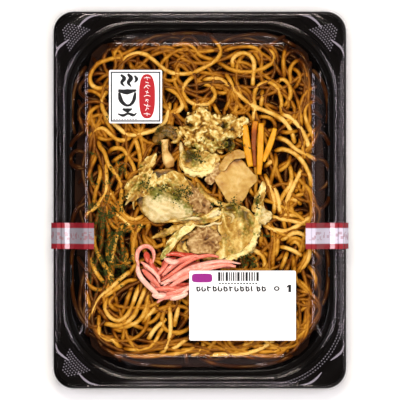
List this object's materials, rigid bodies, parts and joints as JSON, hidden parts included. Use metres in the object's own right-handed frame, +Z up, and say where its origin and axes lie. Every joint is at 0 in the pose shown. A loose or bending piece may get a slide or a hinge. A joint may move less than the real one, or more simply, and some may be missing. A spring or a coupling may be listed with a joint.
{
  "type": "takeaway noodle meal",
  "caption": "Fried noodles with cabbage, mushroom, carrot, pork and red ginger in a black takeaway tray under a clear push-fit lid, with two paper labels and sealing tapes.",
  "frame": {"origin": "middle of the pack's footprint, on the surface that the tray's foot ring stands on", "axes": "+Y along the pack's long side towards its top edge, +X to the pack's right as seen from above, +Z up through the lid"},
  "size_m": [0.1878, 0.24, 0.0457],
  "materials": {
    "tray_plastic": "gloss black formed sheet",
    "lid_plastic": "clear formed sheet",
    "noodle": "cooked noodle in brown sauce, oily gloss",
    "cabbage": "fried cabbage, moist",
    "leaf_green": "green part of the leaf, moist",
    "mushroom": "fried mushroom, satin",
    "slice": "pale brown fried slice, satin",
    "pork": "fried pork, satin",
    "carrot": "cooked carrot, glossy",
    "ginger": "red pickled ginger, wet",
    "label_paper": "smooth white label paper",
    "tape_film": "printed sealing tape"
  },
  "bodies": {
    "root": {"tray": "tray_plastic", "lid": "lid_plastic", "noodles": "noodle", "crinkled_cabbage": "cabbage", "small_leaf": "cabbage", "beige_piece": "pork", "tan_slice": "slice", "leaf_over_mushroom": "leaf_green", "mushroom": "mushroom", "cabbage_bit": "cabbage", "big_leaf": "cabbage", "pork_upper": "pork", "leaf_fold": "cabbage", "lower_leaf": "cabbage", "pork_lower": "pork", "white_knob": "cabbage", "ginger": "ginger", "carrot_1": "carrot", "carrot_2": "carrot", "carrot_3": "carrot", "carrot_4": "carrot", "sprout": "cabbage", "leaf_strip": "cabbage", "leaf_stem": "cabbage", "leaf_rim": "cabbage", "title_label": "label_paper", "price_label": "label_paper", "tape_left": "tape_film", "tape_right": "tape_film"}
  },
  "joints": []
}
